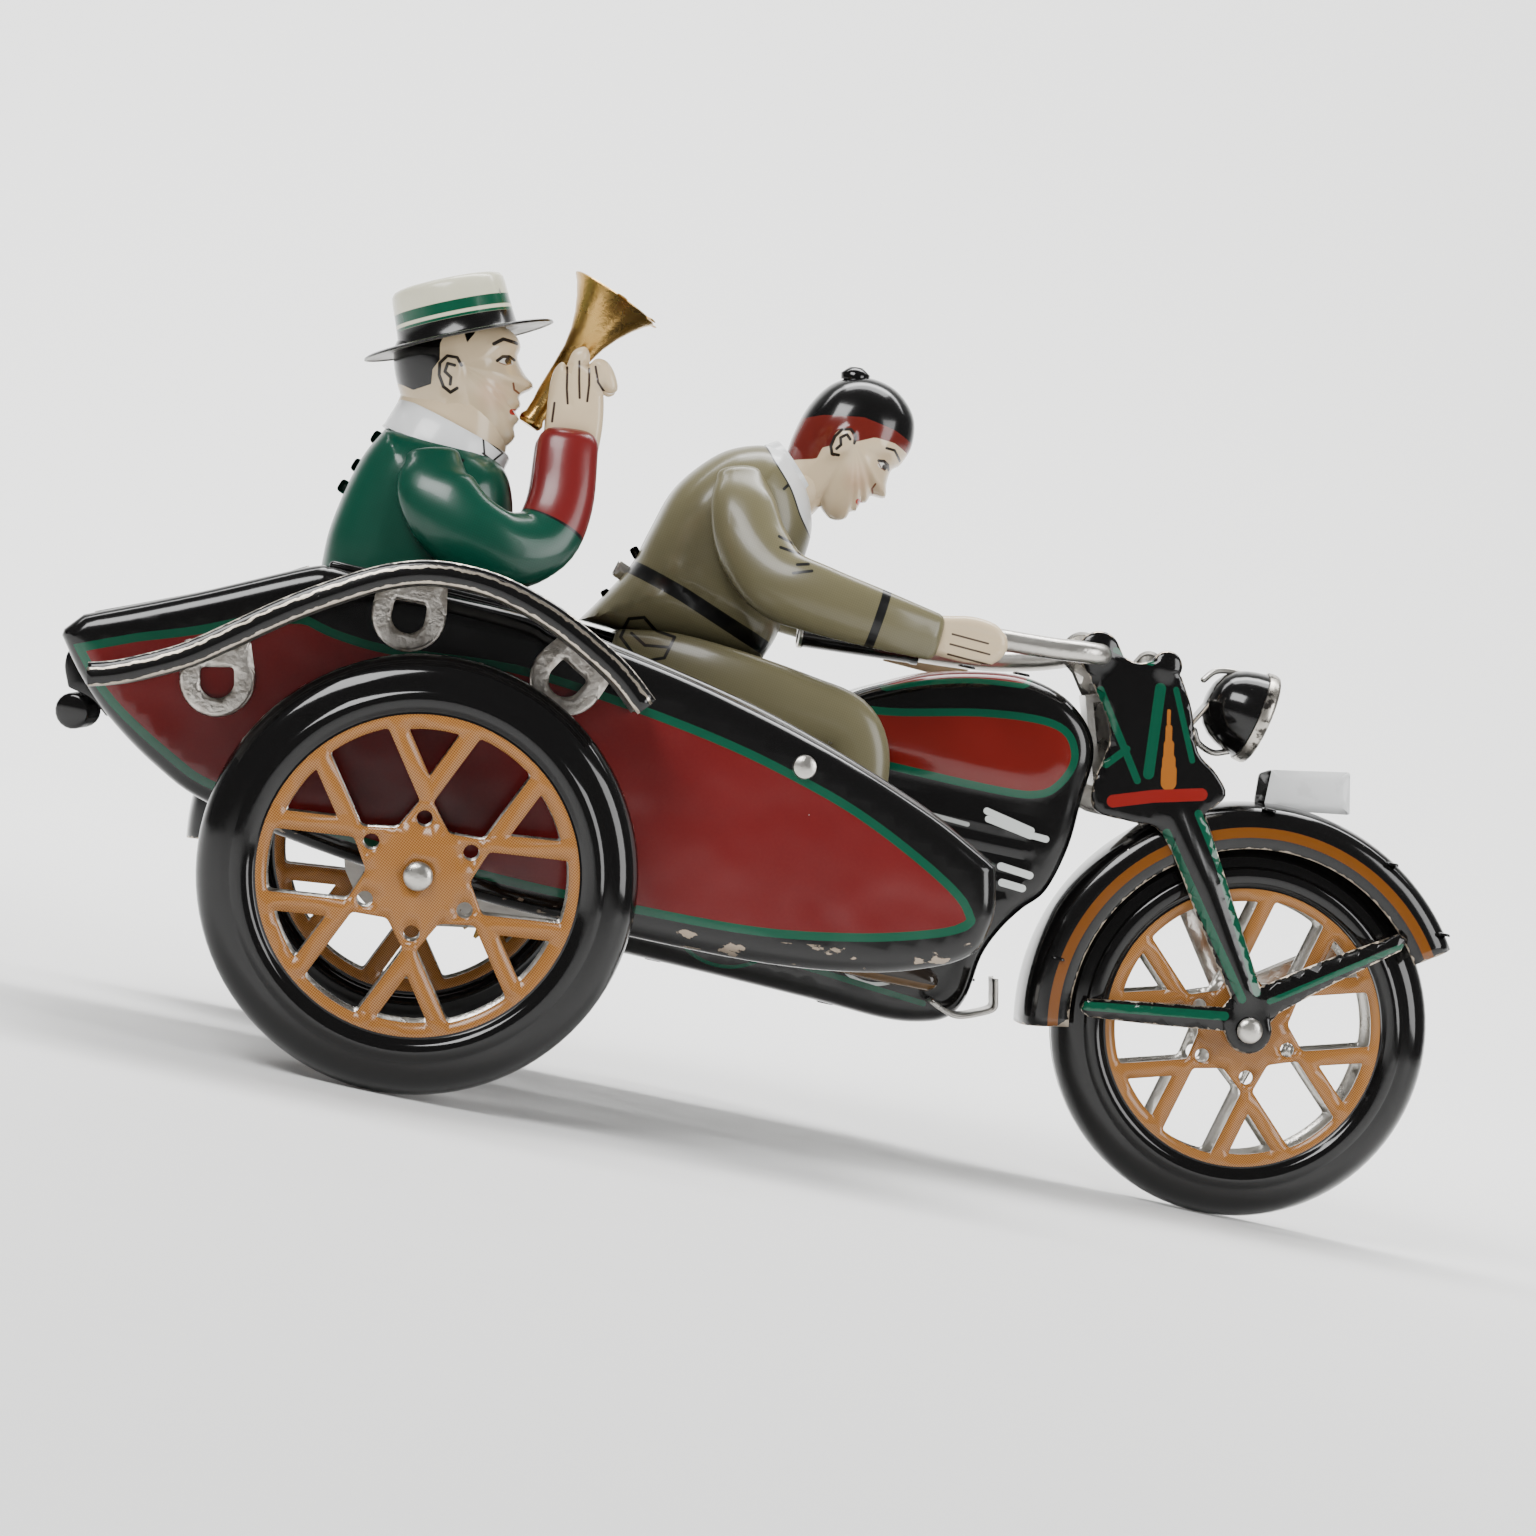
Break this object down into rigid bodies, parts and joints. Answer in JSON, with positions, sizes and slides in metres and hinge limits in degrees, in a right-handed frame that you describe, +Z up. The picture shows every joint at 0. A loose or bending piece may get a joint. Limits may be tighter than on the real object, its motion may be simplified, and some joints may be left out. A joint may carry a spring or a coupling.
{
  "type": "wind-up toy motorcycle",
  "caption": "Clockwork tin motorcycle with a sidecar, a crouched rider, a trumpet-playing passenger, sprung gear drive, key and turning wheels.",
  "frame": {"origin": "under the middle of the bounding box, on the floor that the tyres stand on", "axes": "+X forward, +Y to the toy's left, +Z up; the sidecar is on the right, at -Y"},
  "size_m": [0.188, 0.0932, 0.1022],
  "materials": {
    "bare_tin": "bare tinplate and steel wire",
    "black_lacquer": "glossy black lacquer",
    "brass": "brass",
    "cream_lacquer": "glossy cream",
    "flesh_lacquer": "glossy lithographed flesh",
    "green_lacquer": "glossy lithographed green",
    "olive_lacquer": "glossy lithographed olive",
    "orange_lacquer": "lithographed orange brown",
    "red_lacquer": "glossy lithographed dark red",
    "spring_steel": "blued spring steel",
    "white_lacquer": "glossy white"
  },
  "bodies": {
    "frame": {"boater_hat": "cream_lacquer", "body_left": "black_lacquer", "body_right": "black_lacquer", "clockwork_plate_left": "bare_tin", "clockwork_plate_right": "bare_tin", "driver_arm_left": "olive_lacquer", "driver_arm_right": "olive_lacquer", "driver_head": "flesh_lacquer", "driver_leg_left": "olive_lacquer", "driver_leg_right": "olive_lacquer", "driver_torso_left": "olive_lacquer", "driver_torso_right": "olive_lacquer", "footrest": "bare_tin", "front_deck": "black_lacquer", "head_bracket": "bare_tin", "horn": "brass", "mainspring": "spring_steel", "passenger_arm_left": "green_lacquer", "passenger_arm_right": "green_lacquer", "passenger_head": "flesh_lacquer", "passenger_legs": "red_lacquer", "passenger_torso_left": "green_lacquer", "passenger_torso_right": "green_lacquer", "plate_pillar_front": "bare_tin", "plate_pillar_rear": "bare_tin", "rear_deck": "black_lacquer", "rear_mudguard": "black_lacquer", "saddle": "black_lacquer", "sidecar_axle": "bare_tin", "sidecar_floor": "black_lacquer", "sidecar_mudguard": "black_lacquer", "sidecar_seat": "black_lacquer", "sidecar_side_left": "red_lacquer", "sidecar_side_right": "red_lacquer", "sidecar_strut": "bare_tin", "tail_bracket": "black_lacquer"},
    "fork": {"fork_left": "black_lacquer", "fork_right": "black_lacquer", "fork_yoke": "black_lacquer", "front_axle": "bare_tin", "front_mudguard": "black_lacquer", "handlebar": "bare_tin", "headlamp_front": "bare_tin", "headlamp_shell": "black_lacquer", "number_plate": "white_lacquer"},
    "front_wheel": {"front_wheel_left_half": "orange_lacquer", "front_wheel_right_half": "orange_lacquer"},
    "rear_wheel": {"axle_gear": "brass", "rear_axle": "bare_tin", "rear_wheel_left_half": "orange_lacquer", "rear_wheel_right_half": "orange_lacquer"},
    "sidecar_wheel": {"sidecar_wheel_left_half": "orange_lacquer", "sidecar_wheel_right_half": "orange_lacquer"},
    "idler_gears": {"idler_pinion": "bare_tin", "idler_wheel": "brass"},
    "second_gears": {"second_pinion": "bare_tin", "second_wheel": "brass"},
    "spring_arbor": {"great_wheel": "brass", "winding_arbor": "bare_tin", "winding_key": "bare_tin"}
  },
  "joints": [
    {"name": "steering", "type": "hinge", "parent": "frame", "child": "fork", "pos_m": [0.04145, 0.0246, 0.069], "axis": [-0.309, 0, 0.9511], "range_deg": [-4, 4]},
    {"name": "front_wheel_spin", "type": "hinge", "parent": "fork", "child": "front_wheel", "pos_m": [0.06795, 0.0246, 0.026], "axis": [0, 1, 0], "continuous": true},
    {"name": "rear_wheel_spin", "type": "hinge", "parent": "frame", "child": "rear_wheel", "pos_m": [-0.04615, 0.0246, 0.026], "axis": [0, 1, 0], "continuous": true},
    {"name": "sidecar_wheel_spin", "type": "hinge", "parent": "frame", "child": "sidecar_wheel", "pos_m": [-0.04615, -0.0414, 0.026], "axis": [0, 1, 0], "continuous": true},
    {"name": "idler_spin", "type": "hinge", "parent": "frame", "child": "idler_gears", "pos_m": [-0.03244, 0.0246, 0.02439], "axis": [0, 1, 0], "continuous": true},
    {"name": "second_spin", "type": "hinge", "parent": "frame", "child": "second_gears", "pos_m": [-0.01996, 0.0246, 0.03563], "axis": [0, 1, 0], "continuous": true},
    {"name": "winding_key_spin", "type": "hinge", "parent": "frame", "child": "spring_arbor", "pos_m": [-0.00316, 0.0246, 0.03563], "axis": [0, 1, 0], "continuous": true}
  ],
  "couplings": [
    {"joint": "idler_spin", "follows": "rear_wheel_spin", "ratio": -0.53333},
    {"joint": "second_spin", "follows": "rear_wheel_spin", "ratio": 0.088889},
    {"joint": "winding_key_spin", "follows": "rear_wheel_spin", "ratio": -0.014815}
  ]
}
